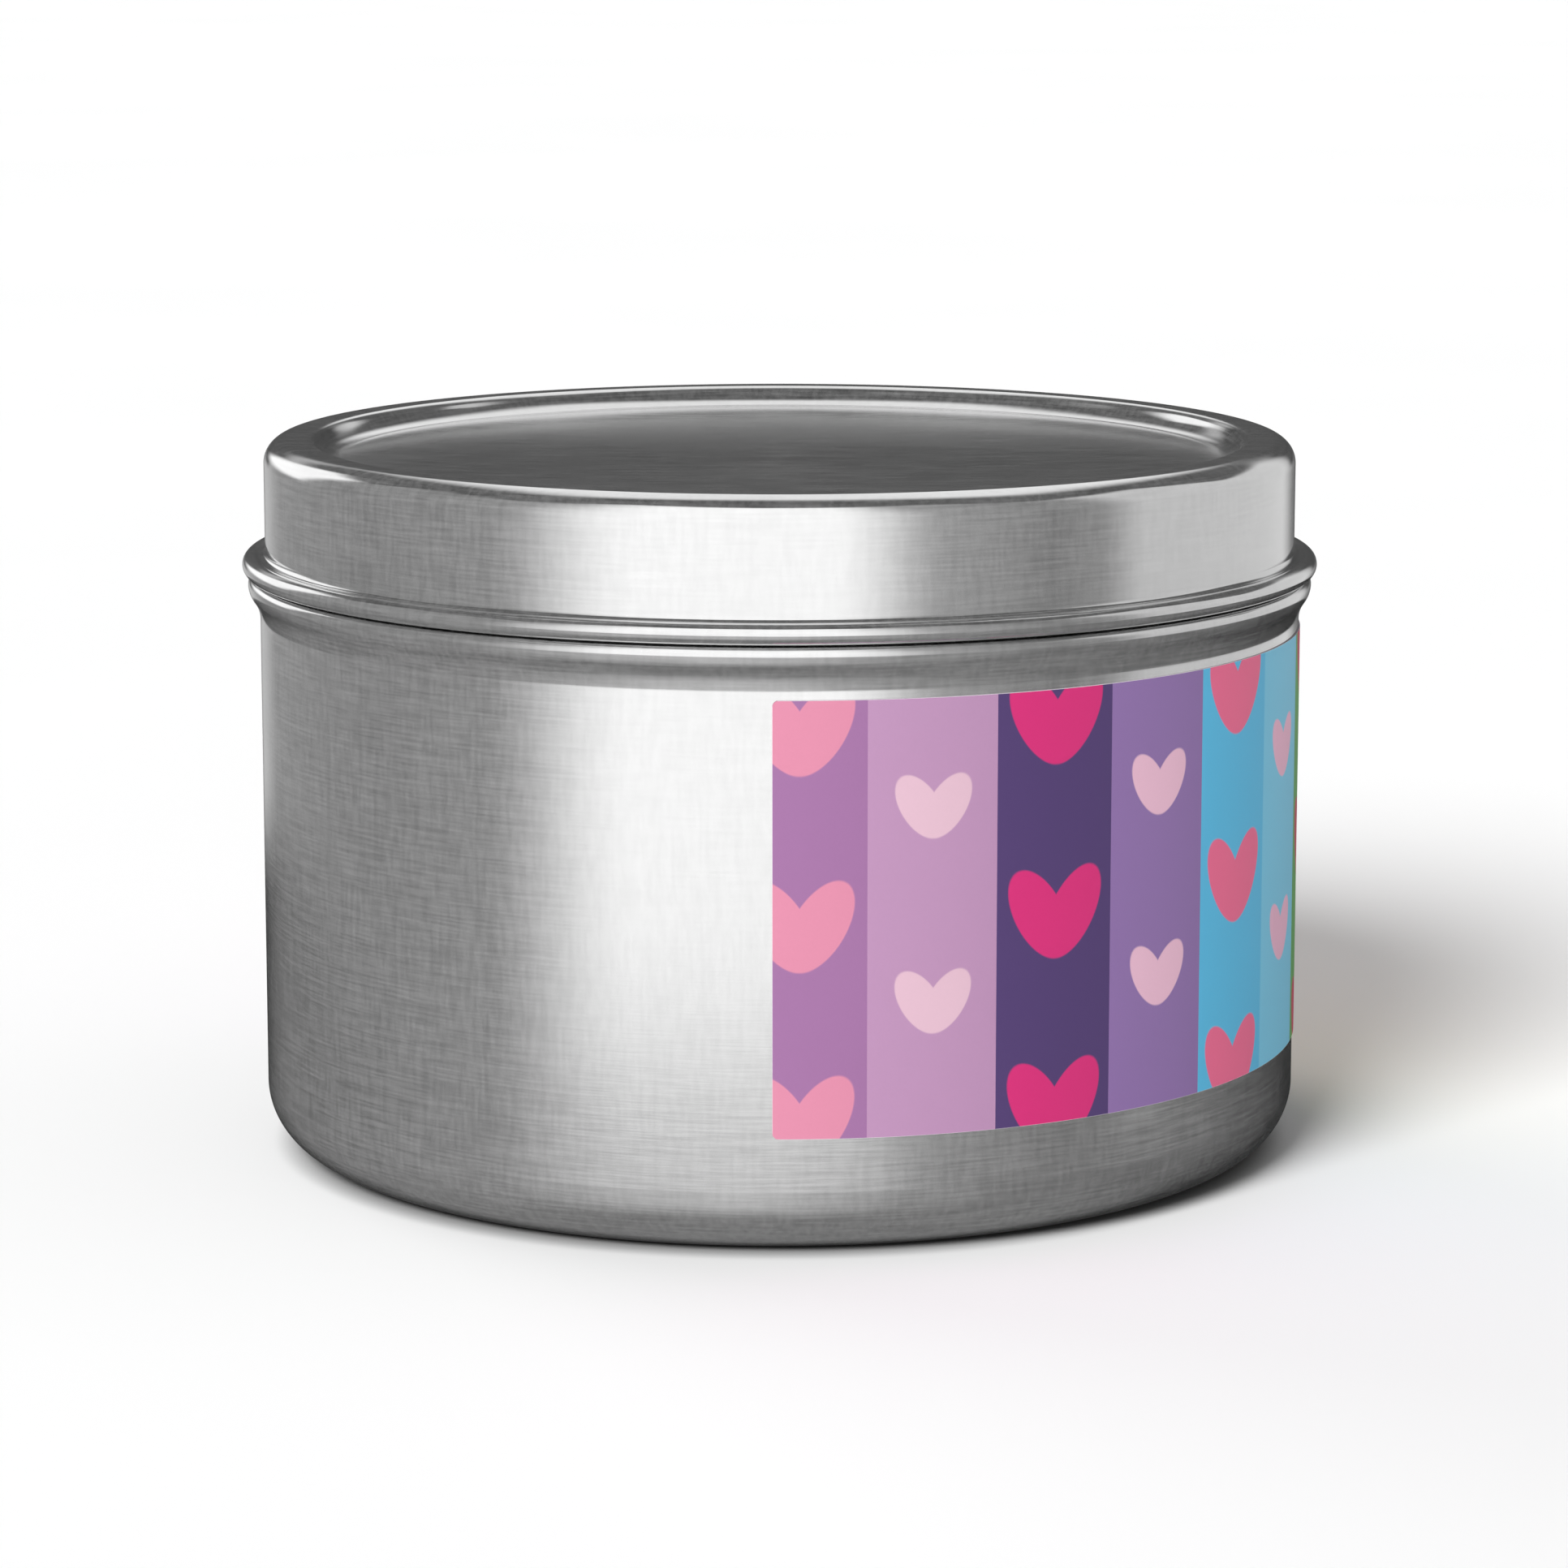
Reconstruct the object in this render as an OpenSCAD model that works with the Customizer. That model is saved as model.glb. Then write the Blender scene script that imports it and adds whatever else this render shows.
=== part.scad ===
// Round slip-lid candle tin with a wrap-around label, poured wax and a tabbed wick.
// Millimetres, +Z up. The origin is on the axis, at the level of the standing ring.
// The front of the tin faces -Y, and the label runs to the right from just left of the front.

/* [Tin] */
// Outer diameter of the straight body wall
body_d = 80; // [60:0.5:100]
// Overall height with the lid on
closed_h = 54.9; // [45:0.1:80]
// Thickness of the tinplate
sheet = 0.3; // [0.2:0.05:0.4]
// Outer radius of the rounded bottom corner
corner_r = 5; // [3:0.5:7]
// Height of the recess in the underside
base_recess = 0.8; // [0.6:0.1:1.2]

/* [Lid] */
// Outer diameter of the lid's skirt
skirt_d = 79.16; // [59:0.02:99]
// Depth of the recessed panel below the rim
panel_depth = 1.9; // [1.8:0.1:3]
// Width of the soft dish inside the panel's edge
dish_w = 21.5; // [8:0.5:22]
// Radius of the edge between rim and skirt
rim_r = 1.8; // [1:0.1:2]
// Width of the flat top of the rim
rim_flat = 1.5; // [0.5:0.1:3]
// Outer radius of the rolled bead at the skirt's lower edge
lid_curl_r = 0.79; // [0.6:0.01:1]

/* [Label] */
// Height of the label
label_h = 31.6; // [20:0.1:35]
// Length of the label round the wall
label_len = 152.4; // [60:0.1:240]
// Height of the label's lower edge above the table
label_z = 9; // [6:0.1:12]
// Angle from the front to the label's left edge, positive to the left
label_start = 0.7; // [0:0.1:90]
// Thickness of the label stock
label_t = 0.12; // [0.05:0.01:0.2]

/* [Candle] */
// Height of the wax surface above the table
wax_z = 40; // [25:0.5:40.5]
// Length of wick that stands above the wax
wick_free = 6.5; // [4:0.5:8]
// Diameter of the braided wick
wick_d = 2.7; // [1.5:0.1:4]
// Diameter of the paper core inside the braid
core_d = 1; // [0.5:0.1:1.2]
// Diameter of the wick tab and of the adhesive dot under it
tab_d = 20; // [12:1:25]
// Thickness of the adhesive dot
dot_t = 0.8; // [0.4:0.1:1.5]

/* [Hidden] */
$fn = 96;

// Segments in each rounded stretch of a sheet-metal profile
arc_n = 10;

body_r = body_d / 2;
skirt_r = skirt_d / 2;

// Running clearance between the neck and the inside of the skirt
neck_gap = 0.18;
neck_r = skirt_r - sheet - neck_gap;

// Lid: levels and radii of its outer face, from the panel out to the rolled edge
fillet_cr = skirt_r - rim_r;
rim_in_r = fillet_cr - rim_flat;
rim_in_fillet = 0.85;
panel_fillet = 2.2;
panel_slope = 55;
dish_slope = 3.5;
dish_n = 12;
dish_rise = tan(dish_slope) * dish_w / 3;
panel_run = (panel_depth - dish_rise - rim_in_fillet * (1 - cos(panel_slope))
             - panel_fillet * (cos(dish_slope) - cos(panel_slope))) / sin(panel_slope);
dish_out = rim_in_r - (rim_in_fillet + panel_fillet) * sin(panel_slope)
           + panel_fillet * sin(dish_slope) - panel_run * cos(panel_slope);
lid_curl_out = 0.95;
lid_curl_drop = 9.53;
lid_curl_roll = 314;
lid_curl_c = [skirt_r + lid_curl_out, closed_h - lid_curl_drop];
flare_r = 0.45;
flare_x = skirt_r + flare_r;
flare_c = [flare_x, lid_curl_c[1] + sqrt(pow(flare_r + lid_curl_r, 2)
                                         - pow(lid_curl_c[0] - flare_x, 2))];
flare_end = atan2(lid_curl_c[1] - flare_c[1], lid_curl_c[0] - flare_c[0]);

// Body: shoulder bead below the lid's edge, made of one hollow and two round stretches
bead_out = 0.9;
bead_drop = 11.04;
bead_low_r = 1.72;
bead_top_r = 0.65;
hollow_r = 2.81;
bead_r = body_r + bead_out;
bead_z = closed_h - bead_drop;
bead_turn = acos(1 - bead_out / (bead_low_r + hollow_r));
bead_foot = bead_z - (bead_low_r + hollow_r) * sin(bead_turn);
shoulder_z = bead_z + bead_top_r;

// Body: neck and the mouth, rolled inward at its top
neck_fillet = 0.3;
mouth_drop = 0.7;
mouth_curl_r = 0.8;
mouth_curl_c = [neck_r - mouth_curl_r, closed_h - mouth_drop - mouth_curl_r];
mouth_curl_roll = 290;

// Body: standing ring and recessed base panel
ring_flat = 0.8;
ring_out_r = body_r - corner_r;
ring_in_r = ring_out_r - ring_flat;
ring_fillet = 0.8;
base_fillet = 0.6;
base_slope = 50;
base_run = (base_recess - (ring_fillet + base_fillet) * (1 - cos(base_slope)))
           / sin(base_slope);

// Candle: levels from the floor of the cup up to the end of the wick
floor_z = base_recess + sheet;
tab_z = floor_z + dot_t;
tab_t = 0.3;
tab_neck_h = 6;
tab_neck_t = 0.35;
tab_fillet = 0.8;
wick_top = wax_z + wick_free;
core_proud = 0.3;

// Candle: rise of the wax at the wall and at the wick, and how far in or out it reaches
meniscus_h = 0.7;
meniscus_w = 2.2;
wick_creep_h = 0.5;
wick_creep_w = 1.1;

// Radius of the paper disc in the base
base_label_r = 30;

// n + 1 points along an arc about c, from angle a0 to angle a1
function arc(c, r, a0, a1, n = arc_n) =
    [for (i = [0:n]) c + r * [cos(a0 + (a1 - a0) * i / n), sin(a0 + (a1 - a0) * i / n)]];

function reversed(p) = [for (i = [len(p) - 1:-1:0]) p[i]];

// One face of a step that is rounded at both ends and slopes in between. It starts level at
// radius x0 and height z0, runs inward with its first round of radius r0, goes straight for
// run, and turns back with its second round of radius r1 until its slope is end. side is -1
// where it steps down and 1 where it steps up, and off moves the face along its normal.
function step_in(x0, z0, r0, r1, slope, run, side, off, end = 0) =
    let (c0 = [x0, z0 + side * r0],
         a = side > 0 ? -90 : 90,
         turn = side > 0 ? -slope : slope,
         end0 = c0 + r0 * [cos(a + turn), sin(a + turn)],
         end1 = end0 + run * [-cos(slope), side * sin(slope)],
         c1 = end1 + r1 * [-sin(slope), -side * cos(slope)])
    concat(arc(c0, r0 - off, a, a + turn),
           arc(c1, r1 + off, a + turn + 180, a + 180 - side * end));

// The panel's dish: its slope grows with the square of the way out, so its height is a cubic
function dish_face(off) =
    [for (i = [0:dish_n - 1]) [dish_out - dish_w * (1 - i / dish_n),
                               closed_h - panel_depth - off + dish_rise * pow(i / dish_n, 3)]];

// The lid's face, from the axis to the rolled edge. off is 0 on the outside and the sheet
// thickness on the inside.
function lid_face(off) = concat(
    [[0, closed_h - panel_depth - off]],
    dish_face(off),
    reversed(step_in(rim_in_r, closed_h, rim_in_fillet, panel_fillet, panel_slope, panel_run,
                     -1, off, dish_slope)),
    arc([fillet_cr, closed_h - rim_r], rim_r - off, 90, 0),
    arc(flare_c, flare_r + off, 180, 360 + flare_end),
    arc(lid_curl_c, lid_curl_r - off, 180 + flare_end, 180 + flare_end - lid_curl_roll,
        3 * arc_n));

// The body's face, from the axis under the base to the rolled mouth. off is 0 on the outside
// and the sheet thickness on the inside.
function body_face(off) = concat(
    base_face(off),
    arc([neck_r + neck_fillet, shoulder_z + neck_fillet], neck_fillet + off, 270, 180),
    arc(mouth_curl_c, mouth_curl_r - off, 0, mouth_curl_roll, 3 * arc_n));

// The part of the body's face from the axis under the base to the top of the shoulder
function base_face(off) = concat(
    [[0, base_recess + off]],
    cup_face(off),
    arc([body_r + hollow_r, bead_foot], hollow_r + off, 180, 180 - bead_turn),
    arc([bead_r - bead_low_r, bead_z], bead_low_r - off, -bead_turn, 0),
    arc([bead_r - bead_top_r, bead_z], bead_top_r - off, 0, 90));

// The part of the body's face from the edge of the base panel to the foot of the straight wall
function cup_face(off) = concat(
    reversed(step_in(ring_in_r, 0, ring_fillet, base_fillet, base_slope, base_run, 1, off)),
    arc([ring_out_r, corner_r], corner_r - off, -90, 0));

// Wax surface from the wick to the wall, level apart from a rise at each end
function wax_surface() = concat(
    [for (i = [0:arc_n]) [wick_d / 2 + wick_creep_w * i / arc_n,
                          wax_z + wick_creep_h * pow(1 - i / arc_n, 2)]],
    [for (i = [0:arc_n]) [body_r - sheet - meniscus_w * (1 - i / arc_n),
                          wax_z + meniscus_h * pow(i / arc_n, 2)]]);

// Outside of the wick tab's neck, from the disc to its top
function tab_neck() = concat(
    arc([wick_d / 2 + tab_neck_t + tab_fillet, tab_z + tab_t + tab_fillet], tab_fillet,
        270, 180),
    [[wick_d / 2 + tab_neck_t, tab_z + tab_neck_h]]);

// Seamless drawn cup: recessed base, straight wall, shoulder bead, neck and rolled mouth
module tin_body() {
    color("silver")
    rotate_extrude()
    polygon(concat(body_face(0), reversed(body_face(sheet))));
}

// Drawn lid: recessed panel, rounded rim, skirt and rolled lower edge
module lid() {
    color("lightgray")
    rotate_extrude()
    polygon(concat(lid_face(0), reversed(lid_face(sheet))));
}

// Printed label, bonded to the straight wall
module label() {
    color("mediumorchid")
    rotate(-90 - label_start)
    rotate_extrude(angle = label_len / body_r * 180 / PI)
    translate([body_r, label_z])
    square([label_t, label_h]);
}

// Wax poured round the wick tab, filling the cup to the wax line
module wax() {
    color("ivory")
    rotate_extrude()
    polygon(concat(
        [[tab_d / 2, floor_z]],
        cup_face(sheet),
        reversed(wax_surface()),
        [[wick_d / 2, tab_z + tab_neck_h]],
        reversed(tab_neck()),
        [[tab_d / 2, tab_z + tab_t]]));
}

// Braided cotton sheath of the wick
module wick_braid() {
    color("floralwhite")
    translate([0, 0, tab_z])
    difference() {
        cylinder(d = wick_d, h = wick_top - tab_z);
        cylinder(d = core_d, h = wick_top - tab_z);
    }
}

// Paper core of the wick, standing a little proud of the cut braid
module wick_core() {
    color("wheat")
    translate([0, 0, tab_z])
    cylinder(d = core_d, h = wick_top + core_proud - tab_z);
}

// Steel tab crimped round the foot of the wick
module wick_tab() {
    color("gainsboro")
    rotate_extrude()
    polygon(concat(
        [[wick_d / 2, tab_z], [tab_d / 2, tab_z], [tab_d / 2, tab_z + tab_t]],
        tab_neck(),
        [[wick_d / 2, tab_z + tab_neck_h]]));
}

// Adhesive foam dot that holds the wick tab to the floor of the tin
module wick_sticker() {
    color("white")
    translate([0, 0, floor_z])
    cylinder(d = tab_d, h = dot_t);
}

// Plain paper disc stuck in the recess of the base
module base_label() {
    color("whitesmoke")
    translate([0, 0, base_recess - label_t])
    cylinder(r = base_label_r, h = label_t);
}

tin_body();
lid();
label();
wax();
wick_braid();
wick_core();
wick_tab();
wick_sticker();
base_label();
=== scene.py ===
import math

import bpy
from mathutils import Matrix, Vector


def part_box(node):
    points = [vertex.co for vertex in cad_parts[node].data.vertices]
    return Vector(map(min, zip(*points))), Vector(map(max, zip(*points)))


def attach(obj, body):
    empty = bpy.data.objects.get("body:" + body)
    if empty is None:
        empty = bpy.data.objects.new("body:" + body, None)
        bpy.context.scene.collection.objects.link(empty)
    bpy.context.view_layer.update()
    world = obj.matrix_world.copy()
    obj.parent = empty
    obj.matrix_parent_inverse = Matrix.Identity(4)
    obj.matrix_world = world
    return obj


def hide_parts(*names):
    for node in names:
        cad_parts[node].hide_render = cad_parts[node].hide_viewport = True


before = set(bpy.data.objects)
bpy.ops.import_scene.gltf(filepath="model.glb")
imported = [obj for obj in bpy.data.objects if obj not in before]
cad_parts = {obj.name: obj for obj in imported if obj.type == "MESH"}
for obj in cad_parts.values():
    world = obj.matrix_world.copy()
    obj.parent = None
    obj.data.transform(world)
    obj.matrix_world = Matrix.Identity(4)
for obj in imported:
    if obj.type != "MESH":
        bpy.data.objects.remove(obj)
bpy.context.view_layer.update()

# Lengths are in millimetres up to the point where a mesh is written, and MM turns them into metres.
# The front of the tin faces -Y. An angle round the tin is 0 at the front and grows to the right.
MM = 0.001
# SEGMENTS go round a lathe mesh, and ARC_STEPS along each rounded stretch of its outline. SUPPORT
# is how far a supporting point stands from a corner.
SEGMENTS = 288
WAX_SEGMENTS = 180
ARC_STEPS = 14
SUPPORT = 0.06


def span(node):
    """A node's lowest and highest corners, in millimetres."""
    low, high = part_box(node)
    return low / MM, high / MM


# ---------------------------------------------------------------- sizes

# The frame's boxes give the ones that a box can. The others are as in the CAD.
SHEET = 0.3
CLOSED_H = span("lid")[1].z
BODY_R = 40.0
SKIRT_R = 39.58
NECK_R = SKIRT_R - SHEET - 0.18
BASE_Z = 0.8

LABEL_LOW = span("label")[0].z
LABEL_HIGH = span("label")[1].z
LABEL_LENGTH = 152.4
LABEL_START = 0.7
LABEL_T = 0.12
LABEL_LIFT = 0.01
LABEL_CORNER = 0.45

WICK_R = span("wick_braid")[1].x
WICK_LOW = span("wick_braid")[0].z
WICK_TOP = span("wick_braid")[1].z
FLOOR_Z = span("wick_sticker")[0].z
TAB_R = span("wick_tab")[1].x
TAB_Z = span("wick_tab")[0].z
TAB_TOP = span("wick_tab")[1].z
TAB_T = 0.3
TAB_NECK_T = 0.35
TAB_FILLET = 0.8

WICK_FREE = 6.5
WAX_Z = WICK_TOP - WICK_FREE
WAX_R = BODY_R - SHEET
MENISCUS_W, MENISCUS_H = 2.2, 0.7
CREEP_W, CREEP_H = 1.1, 0.5


# ---------------------------------------------------------------- profiles

def polar(centre, radius, degrees):
    """The point at an angle on a circle."""
    turn = math.radians(degrees)
    return (centre[0] + radius * math.cos(turn), centre[1] + radius * math.sin(turn))


def arc(centre, radius, start, end, steps=ARC_STEPS):
    """Points along an arc, from one angle to the other, in degrees."""
    return [polar(centre, radius, start + (end - start) * i / steps) for i in range(steps + 1)]


def step_in(x0, z0, r0, r1, slope, run, side, off, end=0.0):
    """One face of a step rounded at both ends, as in the CAD: level at x0, then down (side -1)
    or up (side 1) towards the axis, and ending at the slope end."""
    first = (x0, z0 + side * r0)
    start = -90 if side > 0 else 90
    turn = -slope if side > 0 else slope
    leave = polar(first, r0, start + turn)
    lean = math.radians(slope)
    meet = (leave[0] - run * math.cos(lean), leave[1] + side * run * math.sin(lean))
    second = (meet[0] - r1 * math.sin(lean), meet[1] - side * r1 * math.cos(lean))
    return (arc(first, r0 - off, start, start + turn)
            + arc(second, r1 + off, start + turn + 180, start + 180 - side * end))


def lid_face(off):
    """The lid's face from the axis to the rolled edge, outside for off 0 and inside for SHEET."""
    fillet, rim_flat, inner_fillet, panel_fillet, slope, depth = 1.8, 1.5, 0.85, 2.2, 55.0, 1.9
    dish_w, dish_slope, dish_steps = 21.5, 3.5, 24
    curl_out, curl_drop, curl_r, curl_roll, flare_r = 0.95, 9.53, 0.79, 314, 0.45
    centre_r = SKIRT_R - fillet
    rim_in = centre_r - rim_flat
    lean, flat = math.radians(slope), math.radians(dish_slope)
    rise = math.tan(flat) * dish_w / 3
    run = (depth - rise - inner_fillet * (1 - math.cos(lean))
           - panel_fillet * (math.cos(flat) - math.cos(lean))) / math.sin(lean)
    dish_out = (rim_in - (inner_fillet + panel_fillet) * math.sin(lean)
                + panel_fillet * math.sin(flat) - run * math.cos(lean))
    panel_z = CLOSED_H - depth - off
    dish = [(dish_out - dish_w * (1 - i / dish_steps), panel_z + rise * (i / dish_steps) ** 3)
            for i in range(dish_steps)]
    step = step_in(rim_in, CLOSED_H, inner_fillet, panel_fillet, slope, run, -1, off, dish_slope)
    curl = (SKIRT_R + curl_out, CLOSED_H - curl_drop)
    flare_x = SKIRT_R + flare_r
    flare_z = curl[1] + math.sqrt((flare_r + curl_r) ** 2 - (curl[0] - flare_x) ** 2)
    meet = math.degrees(math.atan2(curl[1] - flare_z, curl[0] - flare_x))
    return ([(0, panel_z)] + dish + step[::-1]
            + arc((centre_r, CLOSED_H - fillet), fillet - off, 90, 0, 2 * ARC_STEPS)
            + arc((flare_x, flare_z), flare_r + off, 180, 360 + meet)
            + arc(curl, curl_r - off, 180 + meet, 180 + meet - curl_roll, 3 * ARC_STEPS))


def cup_face(off):
    """The body's face from the edge of the base panel to the foot of the wall."""
    corner, ring_flat, ring_fillet, base_fillet, slope = 5.0, 0.8, 0.8, 0.6, 50.0
    ring_out = BODY_R - corner
    lean = math.radians(slope)
    run = (BASE_Z - (ring_fillet + base_fillet) * (1 - math.cos(lean))) / math.sin(lean)
    step = step_in(ring_out - ring_flat, 0, ring_fillet, base_fillet, slope, run, 1, off)
    return step[::-1] + arc((ring_out, corner), corner - off, -90, 0, 2 * ARC_STEPS)


def body_face(off):
    """The body's face from the axis under the base to the rolled mouth."""
    low_r, hollow_r, top_r, out, drop = 1.72, 2.81, 0.65, 0.9, 11.04
    fillet, curl_r, curl_roll, mouth_drop = 0.3, 0.8, 290, 0.7
    bead_z = CLOSED_H - drop
    turn = math.degrees(math.acos(1 - out / (low_r + hollow_r)))
    foot = bead_z - (low_r + hollow_r) * math.sin(math.radians(turn))
    bead_r = BODY_R + out
    return ([(0, BASE_Z + off)] + cup_face(off)
            + arc((BODY_R + hollow_r, foot), hollow_r + off, 180, 180 - turn)
            + arc((bead_r - low_r, bead_z), low_r - off, -turn, 0)
            + arc((bead_r - top_r, bead_z), top_r - off, 0, 90)
            + arc((NECK_R + fillet, bead_z + top_r + fillet), fillet + off, 270, 180)
            + arc((NECK_R - curl_r, CLOSED_H - mouth_drop - curl_r), curl_r - off, 0, curl_roll,
                  3 * ARC_STEPS))


def wax_face():
    """The wax's outline from the wick tab's dot, up the wall and back to the wick."""
    wall_steps, field_steps, wick_steps, neck_steps = 10, 24, 8, 6
    wall = [(WAX_R - MENISCUS_W * i / wall_steps,
             WAX_Z + MENISCUS_H * (1 - i / wall_steps) ** 2) for i in range(wall_steps + 1)]
    outer, inner = WAX_R - MENISCUS_W, WICK_R + CREEP_W
    field = [(outer - (outer - inner) * i / field_steps, WAX_Z) for i in range(1, field_steps)]
    wick = [(WICK_R + CREEP_W * (1 - i / wick_steps), WAX_Z + CREEP_H * (i / wick_steps) ** 2)
            for i in range(wick_steps + 1)]
    neck_r = WICK_R + TAB_NECK_T
    tab_top = TAB_Z + TAB_T
    neck = arc((neck_r + TAB_FILLET, tab_top + TAB_FILLET), TAB_FILLET, 180, 270, neck_steps)
    return ([(TAB_R, FLOOR_Z)] + cup_face(SHEET) + wall + field + wick
            + [(WICK_R, TAB_TOP), (neck_r, TAB_TOP)] + neck + [(TAB_R, tab_top)])


def with_supports(points, closed):
    """The same outline with extra points beside its corners on the long straight stretches, so
    that smooth shading leaves those stretches flat."""
    longest_gap = 3.0
    result = []
    count = len(points)
    for i in range(count if closed else count - 1):
        a, b = points[i], points[(i + 1) % count]
        length = math.dist(a, b)
        result.append(a)
        if length < 4 * SUPPORT:
            continue
        cuts = max(1, int(length / longest_gap))
        stops = [SUPPORT] + [length * k / cuts for k in range(1, cuts)] + [length - SUPPORT]
        for stop in stops:
            t = stop / length
            result.append((a[0] + (b[0] - a[0]) * t, a[1] + (b[1] - a[1]) * t))
    return result if closed else result + [points[-1]]


def without_repeats(points):
    """The outline without points that lie on the one before."""
    smallest_gap = 1e-4
    result = [points[0]]
    for p in points[1:]:
        if math.dist(p, result[-1]) > smallest_gap:
            result.append(p)
    return result


# ---------------------------------------------------------------- meshes

def new_piece(name, verts, faces, material, smooth_angle=40):
    """An object with that mesh, from points in millimetres."""
    mesh = bpy.data.meshes.new(name)
    mesh.from_pydata([Vector(v) * MM for v in verts], [], faces)
    mesh.validate()
    mesh.polygons.foreach_set("use_smooth", [True] * len(mesh.polygons))
    mesh.set_sharp_from_angle(angle=math.radians(smooth_angle))
    mesh.materials.append(material)
    piece = bpy.data.objects.new(name, mesh)
    bpy.context.scene.collection.objects.link(piece)
    return piece


def lathe(name, outline, closed, material, shape=None, segments=SEGMENTS):
    """A body of revolution about Z. The outline runs anticlockwise in (radius, height), either
    closed on itself or from axis to axis. shape may move a point."""
    points = with_supports(without_repeats(outline), closed)
    verts, rows = [], []
    for r, z in points:
        if r < 1e-6:
            rows.append([len(verts)])
            verts.append((0.0, 0.0, z))
            continue
        rows.append(list(range(len(verts), len(verts) + segments)))
        for s in range(segments):
            turn = 2 * math.pi * s / segments
            verts.append((r * math.cos(turn), r * math.sin(turn), z))
    if shape:
        verts = [shape(v) for v in verts]
    faces = []
    for i in range(len(rows) if closed else len(rows) - 1):
        low, high = rows[i], rows[(i + 1) % len(rows)]
        for s in range(segments):
            t = (s + 1) % segments
            if len(low) == 1:
                faces.append((low[0], high[t], high[s]))
            elif len(high) == 1:
                faces.append((low[s], low[t], high[0]))
            else:
                faces.append((low[s], low[t], high[t], high[s]))
    return new_piece(name, verts, faces, material)


def around(radius, along):
    """The point at a distance along the wall from the label's left edge, as (x, y)."""
    turn = along / BODY_R - math.radians(LABEL_START)
    return (radius * math.sin(turn), -radius * math.cos(turn))


# ---------------------------------------------------------------- node helpers

class Tree:
    """Builds a node tree with short calls. A value is a number, or an output of another node."""

    def __init__(self, owner):
        owner.use_nodes = True
        self.nodes = owner.node_tree.nodes
        self.links = owner.node_tree.links
        self.nodes.clear()

    def feed(self, socket, value):
        if isinstance(value, bpy.types.NodeSocket):
            self.links.new(value, socket)
        elif value is not None:
            socket.default_value = value

    def add(self, kind, inputs=(), **settings):
        node = self.nodes.new(kind)
        for key, value in settings.items():
            setattr(node, key, value)
        for key, value in dict(inputs).items():
            self.feed(node.inputs[key], value)
        return node

    def math(self, operation, a, b=None, c=None):
        node = self.add("ShaderNodeMath", operation=operation)
        for socket, value in zip(node.inputs, (a, b, c)):
            self.feed(socket, value)
        return node.outputs[0]

    def ramp_between(self, value, low, high, to_low=0.0, to_high=1.0):
        """A smooth step from to_low to to_high as value goes from low to high."""
        node = self.add("ShaderNodeMapRange", interpolation_type="SMOOTHSTEP")
        for key, number in zip(("Value", "From Min", "From Max", "To Min", "To Max"),
                               (value, low, high, to_low, to_high)):
            self.feed(node.inputs[key], number)
        return node.outputs[0]

    def mix(self, share, a, b, blend="MIX"):
        node = self.add("ShaderNodeMix", data_type="RGBA", blend_type=blend)
        self.feed(node.inputs["Factor"], share)
        self.feed(node.inputs[6], a)
        self.feed(node.inputs[7], b)
        return node.outputs[2]

    def ramp(self, value, stops, interpolation="LINEAR"):
        """A colour ramp from (position, colour) pairs."""
        node = self.add("ShaderNodeValToRGB", {"Fac": value})
        node.color_ramp.interpolation = interpolation
        elements = node.color_ramp.elements
        while len(elements) > 1:
            elements.remove(elements[-1])
        for i, (place, colour) in enumerate(stops):
            element = elements[0] if i == 0 else elements.new(place)
            element.position = place
            element.color = colour
        return node.outputs["Color"]

    def split(self, vector):
        return self.add("ShaderNodeSeparateXYZ", {0: vector}).outputs

    def join(self, x, y, z):
        return self.add("ShaderNodeCombineXYZ", {0: x, 1: y, 2: z}).outputs[0]

    def noise(self, vector, scale, detail=2.0, roughness=0.5):
        node = self.add("ShaderNodeTexNoise", {"Vector": vector, "Scale": scale,
                                               "Detail": detail, "Roughness": roughness})
        return node.outputs[0]

    def bump(self, height, strength, distance):
        """A bumped normal. The distance is in metres."""
        node = self.add("ShaderNodeBump", {"Height": height, "Strength": strength,
                                           "Distance": distance})
        return node.outputs[0]

    def place(self):
        """The point's own place on the object, in metres."""
        return self.add("ShaderNodeTexCoord").outputs["Object"]


def grey(level):
    return (level, level, level, 1.0)


def srgb(red, green, blue):
    """A colour given as 0 to 255 levels, in linear light."""
    def linear(level):
        c = level / 255
        return c / 12.92 if c <= 0.04045 else ((c + 0.055) / 1.055) ** 2.4
    return (linear(red), linear(green), linear(blue), 1.0)


def new_material(name, constants=()):
    """A material with one Principled shader. Constants sit on the shader's own sockets."""
    material = bpy.data.materials.new(name)
    tree = Tree(material)
    out = tree.add("ShaderNodeOutputMaterial")
    shader = tree.add("ShaderNodeBsdfPrincipled", constants)
    tree.links.new(shader.outputs[0], out.inputs[0])
    return material, tree, shader


# ---------------------------------------------------------------- materials

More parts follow.
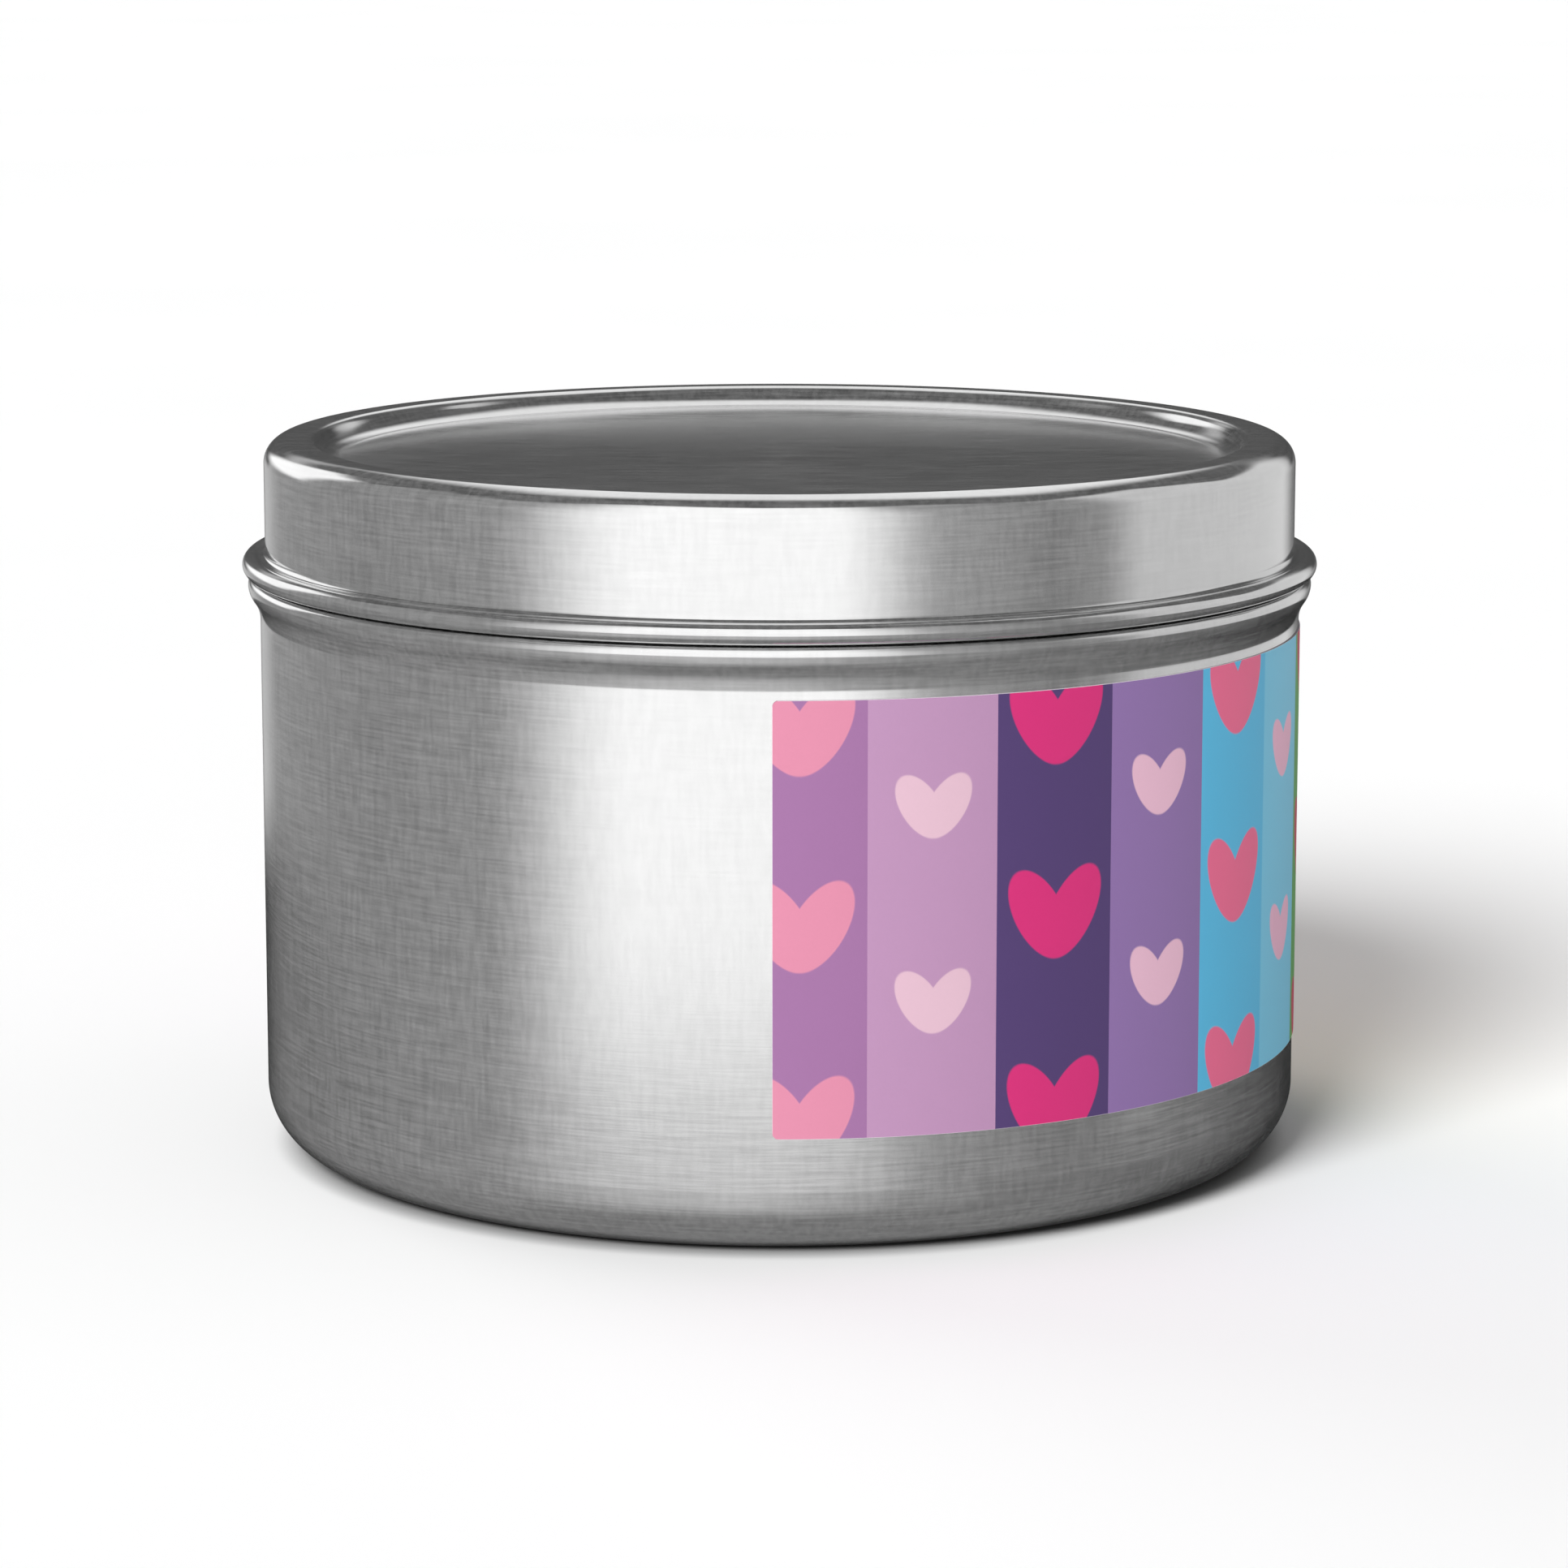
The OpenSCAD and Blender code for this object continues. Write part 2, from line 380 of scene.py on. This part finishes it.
def tinplate(name, tone, flat_grain):
    """Bright tinplate with a fine grain: round the wall, and straight across flat faces, where
    flat_grain is its fineness. Long streaks follow the grain, with a faint upright hatch over
    them and a cloudy roughness. tone is the metal's grey."""
    material, tree, shader = new_material(name, {"Anisotropic": 0.35, "Anisotropic Rotation": 0.25,
                                                 "Specular IOR Level": 0.3})
    place = tree.place()
    x, y, z = tree.split(place)
    per_mm = 1 / MM

    def stretched(along, across, up):
        """Where the point is, in noise cells, from the cells to the millimetre each way."""
        return tree.join(tree.math("MULTIPLY", x, along * per_mm),
                         tree.math("MULTIPLY", y, across * per_mm),
                         tree.math("MULTIPLY", z, up * per_mm))

    wall = tree.noise(stretched(0.18, 0.18, 5.5), 1.0, 4.0, 0.65)
    flat = tree.noise(stretched(0.25, flat_grain, 0.5), 1.0, 3.0, 0.6)
    up = tree.split(tree.add("ShaderNodeNewGeometry").outputs["Normal"])[2]
    level = tree.ramp_between(tree.math("ABSOLUTE", up), 0.75, 0.97)
    grain = tree.mix(level, wall, flat)
    hatch = tree.noise(stretched(2.3, 2.3, 0.4), 1.0, 3.0, 0.65)
    wide = tree.noise(stretched(0.07, 0.07, 0.09), 1.0, 2.0, 0.5)
    streak = tree.ramp_between(grain, 0.28, 0.72)
    cross = tree.ramp_between(hatch, 0.3, 0.7)
    mark = tree.math("MULTIPLY_ADD", cross, 0.4, tree.math("MULTIPLY", streak, 0.6))
    tree.feed(shader.inputs["Base Color"], tree.mix(mark, grey(tone * 0.93), grey(tone * 1.06)))
    tree.feed(shader.inputs["Metallic"], tree.math("MULTIPLY_ADD", mark, -0.12, 1.0))
    rough = tree.math("MULTIPLY_ADD", wide, 0.02, 0.075)
    rough = tree.math("MULTIPLY_ADD", streak, 0.03, rough)
    softer_on_flats = tree.ramp_between(level, 0.0, 1.0, 1.0, 1.3)
    rough = tree.math("MULTIPLY", rough, softer_on_flats)
    tree.feed(shader.inputs["Roughness"], rough)
    tangent = tree.add("ShaderNodeTangent", direction_type="RADIAL", axis="Z").outputs[0]
    tree.feed(shader.inputs["Tangent"], tangent)
    tree.feed(shader.inputs["Normal"], tree.bump(grain, 0.05, 0.00001))
    return material


# Stripe and heart colours of the label from its left edge, as (stripe, heart), in 0 to 255 levels
STRIPES = [
    ((145, 100, 145), (200, 125, 150)),
    ((170, 130, 165), (205, 170, 185)),
    ((75, 55, 105), (200, 35, 110)),
    ((135, 105, 160), (220, 175, 195)),
    ((80, 180, 220), (230, 100, 140)),
    ((115, 195, 225), (230, 175, 200)),
    ((84, 160, 70), (196, 34, 78)),
    ((150, 196, 120), (236, 150, 160)),
    ((238, 202, 84), (224, 104, 60)),
    ((246, 224, 150), (236, 164, 110)),
    ((232, 138, 74), (150, 44, 92)),
    ((240, 178, 132), (226, 110, 112)),
    ((200, 58, 86), (246, 176, 190)),
    ((226, 124, 146), (250, 212, 214)),
    ((120, 60, 130), (236, 120, 176)),
    ((168, 116, 176), (240, 196, 220)),
    ((70, 98, 158), (240, 128, 150)),
]
# Width of a stripe, how much of the first one is cut off, and the rise from heart to heart
STRIPE_W = 9.61
STRIPE_SHIFT = 2.88
HEART_PITCH = 14.12
# A heart's centre_z, lobe_x, long_r, short_r and lean
LARGE_HEART = (24.4, 1.4, 3.7, 1.9, 31.0)
SMALL_HEART = (18.7, 1.0, 2.6, 1.4, 33.0)


def heart(tree, across, up, centre_z, lobe_x, long_r, short_r, lean):
    """1 inside a heart of two crossed ellipses, one heart each HEART_PITCH up the label. Each
    ellipse has its centre lobe_x to the side and leans by lean degrees."""
    row = tree.math("WRAP", up, centre_z + HEART_PITCH / 2, centre_z - HEART_PITCH / 2)
    rise = tree.math("SUBTRACT", row, centre_z)
    cos, sin = math.cos(math.radians(lean)), math.sin(math.radians(lean))
    sides = []
    for side in (1, -1):
        out = tree.math("MULTIPLY_ADD", across, side, -lobe_x)
        along = tree.math("MULTIPLY_ADD", out, sin, tree.math("MULTIPLY", rise, cos))
        aside = tree.math("MULTIPLY_ADD", rise, -sin, tree.math("MULTIPLY", out, cos))
        long_part = tree.math("POWER", tree.math("DIVIDE", along, long_r), 2.0)
        short_part = tree.math("POWER", tree.math("DIVIDE", aside, short_r), 2.0)
        sides.append(tree.math("SQRT", tree.math("ADD", long_part, short_part)))
    nearest = tree.math("MINIMUM", sides[0], sides[1])
    soft_edge = 0.06 / short_r
    return tree.ramp_between(nearest, 1 + soft_edge, 1 - soft_edge)


def printed_label(name):
    """Satin paper printed with stripes of hearts: a large heart on every even stripe and a small
    one on every odd stripe. The print follows the label's own length and height."""
    material, tree, shader = new_material(name, {"Specular IOR Level": 0.35, "Coat Weight": 0.12,
                                                 "Coat Roughness": 0.3})
    place = tree.add("ShaderNodeUVMap", uv_map="print").outputs[0]
    along, up, _ = tree.split(place)
    column = tree.math("DIVIDE", tree.math("ADD", along, STRIPE_SHIFT), STRIPE_W)
    index = tree.math("FLOOR", column)
    inside = tree.math("SUBTRACT", column, index)
    across = tree.math("MULTIPLY", tree.math("SUBTRACT", inside, 0.5), STRIPE_W)
    count = len(STRIPES)
    pick = tree.math("DIVIDE", tree.math("ADD", index, 0.5), count)
    ground, motif = [
        tree.ramp(pick, [(i / count, srgb(*pair[layer])) for i, pair in enumerate(STRIPES)],
                  "CONSTANT") for layer in (0, 1)]
    odd = tree.math("MODULO", index, 2.0)
    large = heart(tree, across, up, *LARGE_HEART)
    small = heart(tree, across, up, *SMALL_HEART)
    shown = tree.math("ADD", tree.math("MULTIPLY", large, tree.math("SUBTRACT", 1.0, odd)),
                      tree.math("MULTIPLY", small, odd))
    print_colour = tree.mix(shown, ground, motif)
    object_place = tree.place()
    fibre = tree.noise(object_place, 5200.0, 4.0, 0.65)
    blotch = tree.noise(object_place, 160.0, 3.0, 0.55)
    tone = tree.math("MULTIPLY_ADD", fibre, 0.05, 0.935)
    tone = tree.math("MULTIPLY_ADD", blotch, 0.03, tone)
    tinted = tree.mix(1.0, print_colour, tree.join(tone, tone, tone), "MULTIPLY")
    edge_near = tree.math("MINIMUM", along, tree.math("SUBTRACT", LABEL_LENGTH, along))
    height_near = tree.math("MINIMUM", tree.math("SUBTRACT", up, LABEL_LOW),
                            tree.math("SUBTRACT", LABEL_HIGH, up))
    cut_edge = tree.ramp_between(tree.math("MINIMUM", edge_near, height_near), 0.02, 0.0)
    tree.feed(shader.inputs["Base Color"], tree.mix(cut_edge, tinted, srgb(236, 226, 236)))
    tree.feed(shader.inputs["Roughness"], tree.math("MULTIPLY_ADD", fibre, 0.12, 0.42))
    tree.feed(shader.inputs["Normal"], tree.bump(fibre, 0.18, 0.00002))
    return material


def poured_wax(name):
    """Creamy wax: a little light passes into it, with faint frosting and a satin skin."""
    material, tree, shader = new_material(name, {
        "Subsurface Weight": 0.35, "Subsurface Radius": (0.004, 0.003, 0.002),
        "Subsurface Scale": 0.6, "Specular IOR Level": 0.45, "Coat Weight": 0.15,
        "Coat Roughness": 0.35})
    place = tree.place()
    frost = tree.noise(place, 130.0, 5.0, 0.6)
    fine = tree.noise(place, 1500.0, 4.0, 0.6)
    patch = tree.ramp_between(frost, 0.42, 0.66)
    colour = tree.mix(patch, srgb(238, 229, 207), srgb(247, 242, 228))
    tree.feed(shader.inputs["Base Color"], colour)
    tree.feed(shader.inputs["Roughness"], tree.math("MULTIPLY_ADD", patch, 0.2, 0.36))
    height = tree.math("MULTIPLY_ADD", fine, 0.25, frost)
    tree.feed(shader.inputs["Normal"], tree.bump(height, 0.25, 0.0003))
    return material


def waxed_cotton(name):
    """Off-white cotton yarn with twisted fibres and a thin coat of wax."""
    material, tree, shader = new_material(name, {"Specular IOR Level": 0.4, "Sheen Weight": 0.3,
                                                 "Coat Weight": 0.2, "Coat Roughness": 0.4})
    place = tree.place()
    fibre = tree.noise(place, 6500.0, 4.0, 0.7)
    stain = tree.noise(place, 500.0, 2.0, 0.5)
    colour = tree.mix(tree.ramp_between(stain, 0.35, 0.65), srgb(232, 224, 202),
                      srgb(246, 242, 230))
    colour = tree.mix(tree.ramp_between(fibre, 0.3, 0.5, 0.35, 0.0), colour,
                      srgb(198, 186, 158))
    tree.feed(shader.inputs["Base Color"], colour)
    tree.feed(shader.inputs["Roughness"], tree.math("MULTIPLY_ADD", fibre, 0.3, 0.5))
    tree.feed(shader.inputs["Normal"], tree.bump(fibre, 0.5, 0.00006))
    return material


def plain_paper(name, tone, grain):
    """Uncoated paper with visible fibres. grain is their fineness."""
    material, tree, shader = new_material(name, {"Specular IOR Level": 0.25})
    place = tree.place()
    fibre = tree.noise(place, grain, 5.0, 0.7)
    blotch = tree.noise(place, grain / 20, 3.0, 0.5)
    shade = tree.math("MULTIPLY_ADD", fibre, 0.16, 0.88)
    shade = tree.math("MULTIPLY_ADD", blotch, 0.06, shade)
    colour = tree.mix(1.0, tone, tree.join(shade, shade, shade), "MULTIPLY")
    tree.feed(shader.inputs["Base Color"], colour)
    tree.feed(shader.inputs["Roughness"], tree.math("MULTIPLY_ADD", fibre, 0.2, 0.72))
    tree.feed(shader.inputs["Normal"], tree.bump(fibre, 0.3, 0.00005))
    return material


def foam(name):
    """White closed-cell foam: small dark pores on a soft matte skin."""
    material, tree, shader = new_material(name, {"Specular IOR Level": 0.3})
    place = tree.place()
    cells = tree.add("ShaderNodeTexVoronoi", {"Vector": place, "Scale": 3500.0}).outputs[0]
    pore = tree.ramp_between(cells, 0.1, 0.35)
    colour = tree.mix(pore, srgb(196, 194, 186), srgb(240, 239, 233))
    tree.feed(shader.inputs["Base Color"], colour)
    tree.feed(shader.inputs["Roughness"], tree.math("MULTIPLY_ADD", pore, 0.1, 0.75))
    tree.feed(shader.inputs["Normal"], tree.bump(pore, 0.4, 0.0001))
    return material


# ---------------------------------------------------------------- pieces

def stands_for(piece, node, body):
    """Puts a piece in the place of a CAD node."""
    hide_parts(node)
    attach(piece, body)


def make_metal():
    """The body and the lid, with smooth lathe meshes in place of the CAD ones."""
    tone, flat_grain = 0.66, 4.0
    cup = body_face(0) + body_face(SHEET)[::-1]
    cap = lid_face(SHEET) + lid_face(0)[::-1]
    for node, outline, slot_name, body in (("tin_body", cup, "body_tinplate", "tin"),
                                           ("lid", cap, "lid_tinplate", "lid")):
        material = tinplate(node + "_tinplate", tone, flat_grain)
        stands_for(lathe(node + "_metal", outline, False, material), node, body)


def label_columns():
    """Distances along the label, close together in its rounded corners."""
    corner_steps, spacing = 8, 0.7
    corner = [LABEL_CORNER * (1 - math.cos(math.pi / 2 * i / corner_steps))
              for i in range(corner_steps + 1)]
    plain = int((LABEL_LENGTH - 2 * LABEL_CORNER) / spacing)
    middle = [LABEL_CORNER + (LABEL_LENGTH - 2 * LABEL_CORNER) * i / plain
              for i in range(1, plain)]
    return corner + middle + [LABEL_LENGTH - c for c in reversed(corner)]


def make_label():
    """The label: a thin sheet round the wall with rounded corners. Its print map holds the
    distance along it and the height, in millimetres."""
    rows = 24
    columns = label_columns()
    verts, marks = [], []
    for radius in (BODY_R + LABEL_T, BODY_R + LABEL_LIFT):
        for along in columns:
            near = min(along, LABEL_LENGTH - along)
            cut = 0.0
            if near < LABEL_CORNER:
                cut = LABEL_CORNER - math.sqrt(LABEL_CORNER ** 2 - (LABEL_CORNER - near) ** 2)
            for i in range(rows + 1):
                share = i / rows
                z = LABEL_LOW + cut + (LABEL_HIGH - LABEL_LOW - 2 * cut) * share
                verts.append((*around(radius, along), z))
                marks.append((along, z))
    high = rows + 1
    side = len(columns) * high
    faces = []
    for c in range(len(columns) - 1):
        for i in range(rows):
            a = c * high + i
            faces.append((a, a + high, a + high + 1, a + 1))
            faces.append((side + a, side + a + 1, side + a + high + 1, side + a + high))
        low, top = c * high, c * high + rows
        faces.append((low, side + low, side + low + high, low + high))
        faces.append((top, top + high, side + top + high, side + top))
    last = (len(columns) - 1) * high
    for i in range(rows):
        faces.append((i, i + 1, side + i + 1, side + i))
        faces.append((last + i, side + last + i, side + last + i + 1, last + i + 1))
    piece = new_piece("label_print", verts, faces, printed_label("label_print"), 30)
    layer = piece.data.uv_layers.new(name="print")
    for loop in piece.data.loops:
        layer.data[loop.index].uv = marks[loop.vertex_index]
    stands_for(piece, "label", "tin")


def make_wax():
    """The poured wax, with a slightly uneven top."""
    def settle(v):
        """Raises or lowers a point of the top, less and less towards the wick and the wall."""
        x, y, z = v
        if z < WAX_Z - 0.01:
            return v
        r = math.hypot(x, y)
        swell = 0.03 * math.sin(x * 0.31 + 1.0) * math.cos(y * 0.27 - 0.5)
        ring = 0.02 * math.cos(r * 0.9)
        return (x, y, z + (swell + ring) * min(1.0, r / 10) * min(1.0, (WAX_R - r) / 3))

    stands_for(lathe("wax_fill", wax_face(), True, poured_wax("wax"), settle, WAX_SEGMENTS),
               "wax", "tin")


def strand(path, radius, sides=7):
    """Rings of points along a path, for a round strand closed at both ends."""
    verts, faces = [], []
    for i, here in enumerate(path):
        ahead = Vector(path[min(i + 1, len(path) - 1)])
        behind = Vector(path[max(i - 1, 0)])
        run = (ahead - behind).normalized()
        side = run.cross(Vector((here[0], here[1], 0))).normalized()
        out = side.cross(run).normalized()
        for k in range(sides):
            turn = 2 * math.pi * k / sides
            verts.append(Vector(here) + radius * (math.cos(turn) * out
                                                  + math.sin(turn) * side))
    for i in range(len(path) - 1):
        for k in range(sides):
            a, b = i * sides + k, i * sides + (k + 1) % sides
            faces.append((a, b, b + sides, a + sides))
    faces.append(tuple(reversed(range(sides))))
    faces.append(tuple(range((len(path) - 1) * sides, len(path) * sides)))
    return verts, faces


def make_wick():
    """The braid: strands wound both ways round the core, each passing over one and under the
    next. The core is the CAD's own piece."""
    ways, pitch, strand_r, steps = 6, 9.0, 0.30, 150
    weave, room = 0.10, 0.11
    mid_r = WICK_R - strand_r - room
    verts, faces = [], []
    for way in (1, -1):
        for n in range(ways):
            path = []
            for i in range(steps + 1):
                z = WICK_LOW + strand_r + (WICK_TOP - WICK_LOW - 2 * strand_r) * i / steps
                climb = 2 * math.pi * z / pitch
                turn = way * climb + 2 * math.pi * n / ways
                over = math.cos(ways * climb + (0 if way > 0 else math.pi))
                r = mid_r + weave * over
                path.append((r * math.cos(turn), r * math.sin(turn), z))
            more, quads = strand(path, strand_r)
            start = len(verts)
            verts += more
            faces += [tuple(start + k for k in quad) for quad in quads]
    piece = new_piece("wick_strands", verts, faces, waxed_cotton("cotton"), 70)
    stands_for(piece, "wick_braid", "tin")


def finish_cad_pieces():
    """Materials for the CAD nodes that stay as they are."""
    looks = {
        "wick_core": plain_paper("core_paper", srgb(214, 196, 160), 3000.0),
        "wick_tab": tinplate("tab_tinplate", 0.6, 2.0),
        "wick_sticker": foam("foam"),
        "base_label": plain_paper("base_paper", srgb(240, 240, 236), 2200.0),
    }
    for node, material in looks.items():
        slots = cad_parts[node].data.materials
        slots.clear()
        slots.append(material)


# ---------------------------------------------------------------- studio

def make_floor():
    """A plain pale floor with a painted contact shadow: its colour is darker where it is within a
    few millimetres of the tin. The metal doesn't see it: its reflections come from the surroundings
    alone."""
    half, steps = 6000.0, 24
    row = steps + 1
    verts = [(-half + 2 * half * i / steps, -half + 2 * half * j / steps, 0.0)
             for j in range(row) for i in range(row)]
    faces = [(j * row + i, j * row + i + 1, (j + 1) * row + i + 1, (j + 1) * row + i)
             for j in range(steps) for i in range(steps)]
    material, tree, shader = new_material("floor", {"Roughness": 0.9,
                                                    "Specular IOR Level": 0.0})
    place = tree.place()
    cloud = tree.noise(place, 6.0, 3.0, 0.5)
    shade = tree.ramp_between(cloud, 0.3, 0.7, 0.94, 0.955)
    # Painted contact shadow: ambient occlusion darkens the floor's colour wherever the tin is
    # within a few millimetres.
    painted_contact_shadow_ao = tree.add("ShaderNodeAmbientOcclusion", {"Distance": 0.0024},
                        samples=16).outputs["AO"]
    shade = tree.math("MULTIPLY", shade, tree.ramp_between(painted_contact_shadow_ao, -0.1, 0.8, 0.3, 1.0))
    tree.feed(shader.inputs["Base Color"], tree.join(shade, shade, shade))
    floor = new_piece("floor", verts, faces, material)
    floor.visible_glossy = False


def window(tree, value, low, high, soft):
    """1 between low and high, with soft edges."""
    rise = tree.ramp_between(value, low - soft, low + soft)
    fall = tree.ramp_between(value, high + soft, high - soft)
    return tree.math("MULTIPLY", rise, fall)


def direction(tree):
    """Which way a point of the world lies, as a unit vector."""
    return tree.add("ShaderNodeTexCoord").outputs["Generated"]


def level_round(tree, turn, stops):
    """A level from (degrees round the tin, level) pairs."""
    colour = tree.ramp(turn, [((a + 180) / 360, grey(level)) for a, level in stops])
    return tree.add("ShaderNodeRGBToBW", {0: colour}).outputs[0]


def blend(tree, share, a, b):
    """Goes from a to b as share goes from 0 to 1."""
    return tree.math("MULTIPLY_ADD", share, tree.math("SUBTRACT", b, a), a)


# How bright the parts of the surroundings are. The walls and the floor lie between 0.03 and 0.82.
FRONT_SCREEN = 1.42
TOP_SCREEN = 1.1
BACK_WINDOW = 1.35
DARK_BAND = 0.072
CEILING = 0.11
FLOOR_BELOW = 0.22


def surroundings(tree):
    """What the metal sees: a bright screen in front, one overhead and behind, a tall window at the
    back on the left, walls of mid grey, a dark ceiling and a dark band low at the back, and the
    floor under them. Direction only, as on a far-off studio wall."""
    x, y, z = tree.split(direction(tree))
    azimuth = tree.math("DEGREES", tree.math("ARCTAN2", x, tree.math("MULTIPLY", y, -1.0)))
    elevation = tree.math("DEGREES", tree.math("ARCSINE", z))
    aside = tree.math("ABSOLUTE", azimuth)
    behind = tree.math("SUBTRACT", 180.0, aside)
    turn = tree.math("MULTIPLY_ADD", azimuth, 1 / 360, 0.5)

    walls = level_round(tree, turn, [
        (-180, 0.10), (-172, 0.20),               # dark at the back
        (-165, 0.55), (-157, 0.50),               # a narrow light at the back on the left
        (-147, 0.33), (-100, 0.27), (-55, 0.34),  # grey on the left
        (0, 0.50), (38, 0.40),                    # lighter on both sides of the front screen
        (62, 0.26), (75, 0.34),                   # a dark gap on the right
        (86, 0.74), (150, 0.82),                  # a broad light panel on the right
        (161, 0.26), (170, 0.11)])                # dark at the back again

    floor = level_round(tree, turn, [
        (-180, 0.04), (-165, 0.05),               # dark at the back
        (-140, 0.19), (-67, 0.29),                # grey on the left
        (-36, 0.55), (-11, 0.64), (0, 0.60),      # the key lamp's light in front
        (30, 0.33), (45, 0.26), (65, 0.20),       # falling off to the right
        (106, 0.17), (155, 0.03)])                # dark at the back again
    floor = blend(tree, tree.ramp_between(elevation, -32.0, -66.0), floor, FLOOR_BELOW)
    horizon = tree.ramp_between(aside, 60.0, 155.0, -13.25, -10.6)
    above = tree.ramp_between(tree.math("SUBTRACT", elevation, horizon), -0.7, 0.7)
    level = blend(tree, above, floor, walls)

    # screen in front
    front = tree.math("MULTIPLY", tree.ramp_between(azimuth, -67.0, -30.0),
                      tree.ramp_between(azimuth, 38.0, 10.0))
    front = tree.math("MULTIPLY", front, above)
    level = blend(tree, front, level, FRONT_SCREEN)

    # dark band low at the back
    band = tree.math("MULTIPLY", window(tree, elevation, -3.0, 15.5, 2.5),
                     tree.ramp_between(behind, 26.0, 20.0))
    level = blend(tree, band, level, DARK_BAND)

    # dark ceiling, lower at the back
    start = tree.math("ADD", tree.ramp_between(aside, 45.0, 75.0, 60.0, 45.0),
                      tree.ramp_between(aside, 110.0, 126.0, 0.0, -23.0))
    ceiling = tree.ramp_between(tree.math("SUBTRACT", elevation, start), -2.5, 2.5)
    level = blend(tree, ceiling, level, CEILING)

    # screen overhead and behind
    rise = tree.math("MAXIMUM", z, 0.001)
    back_run = tree.math("DIVIDE", y, rise)
    side_run = tree.math("DIVIDE", x, rise)
    top = tree.math("MULTIPLY", window(tree, back_run, 0.26, 4.0, 0.2),
                    window(tree, side_run, -0.38, 0.48, 0.16))
    top = tree.math("MULTIPLY", top, tree.ramp_between(elevation, 11.0, 22.0))
    level = blend(tree, top, level, TOP_SCREEN)

    # tall window at the back on the left, its far side leaning
    far = tree.math("MULTIPLY_ADD", elevation, -0.62, azimuth)
    near = tree.math("MULTIPLY_ADD", elevation, -0.25, azimuth)
    side = tree.math("MULTIPLY", tree.ramp_between(far, -166.0, -160.0),
                     tree.ramp_between(near, -126.0, -135.0))
    side = tree.math("MULTIPLY", side, window(tree, elevation, 2.5, 31.0, 3.5))
    return blend(tree, side, level, BACK_WINDOW)


def make_world():
    """White to the camera, an even glow for the matte surfaces, and the studio's surroundings in
    the metal."""
    world = bpy.data.worlds.new("studio")
    bpy.context.scene.world = world
    tree = Tree(world)
    seen = surroundings(tree)
    path = tree.add("ShaderNodeLightPath")
    mirror = tree.add("ShaderNodeBackground", {"Color": grey(1.0), "Strength": seen})
    height = tree.math("ABSOLUTE", tree.split(direction(tree))[2])
    sky = tree.ramp_between(height, 0.2, 0.42, 0.8, 0.08)
    glow = tree.add("ShaderNodeBackground", {"Color": grey(1.0), "Strength": sky})
    white = tree.add("ShaderNodeBackground", {"Color": grey(1.0), "Strength": 1.0})
    lit = tree.add("ShaderNodeMixShader", {0: path.outputs["Is Glossy Ray"], 1: glow.outputs[0],
                                           2: mirror.outputs[0]})
    shown = tree.add("ShaderNodeMixShader", {0: path.outputs["Is Camera Ray"],
                                             1: lit.outputs[0], 2: white.outputs[0]})
    out = tree.add("ShaderNodeOutputWorld")
    tree.links.new(shown.outputs[0], out.inputs[0])


def aim(thing, target):
    """Turns an object so that its -Z points at a place."""
    thing.rotation_euler = (Vector(target) - thing.location).to_track_quat("-Z", "Y").to_euler()


def make_lamps():
    """Wide soft lamps. The strongest stands in front on the left and throws the shadow to the
    right and back; the others are weak and throw faint ones."""
    lamps = {
        # name: (degrees round the tin, degrees up, width in degrees, strength)
        "key": (-27, 34, 26, 3.45),
        "side": (-136, 16, 38, 1.2),
        "top": (20, 84, 100, 0.6),
    }
    for name, (turn, up, width, strength) in lamps.items():
        lamp = bpy.data.lights.new(name, "SUN")
        lamp.energy = strength
        lamp.angle = math.radians(width)
        sun = bpy.data.objects.new(name, lamp)
        bpy.context.scene.collection.objects.link(sun)
        level = math.cos(math.radians(up))
        sun.location = (level * math.sin(math.radians(turn)),
                        -level * math.cos(math.radians(turn)), math.sin(math.radians(up)))
        aim(sun, (0.0, 0.0, 0.0))
        sun.visible_glossy = False


def make_camera():
    """The photograph's viewpoint: slightly above the lid, looking down a little."""
    place, pitch, sensor_mm, lens_mm = (0.00034, -0.41253, 0.10106), 10.105, 36.0, 123.57
    data = bpy.data.cameras.new("camera")
    data.sensor_width = sensor_mm
    data.lens = lens_mm
    data.clip_start = 0.01
    camera = bpy.data.objects.new("camera", data)
    bpy.context.scene.collection.objects.link(camera)
    camera.location = place
    camera.rotation_euler = (math.radians(90 - pitch), 0.0, 0.0)
    bpy.context.scene.camera = camera


bpy.context.scene.view_settings.view_transform = "Standard"
bpy.context.scene.cycles.caustics_reflective = False
make_camera()
make_metal()
make_label()
make_wax()
make_wick()
finish_cad_pieces()
make_floor()
make_world()
make_lamps()
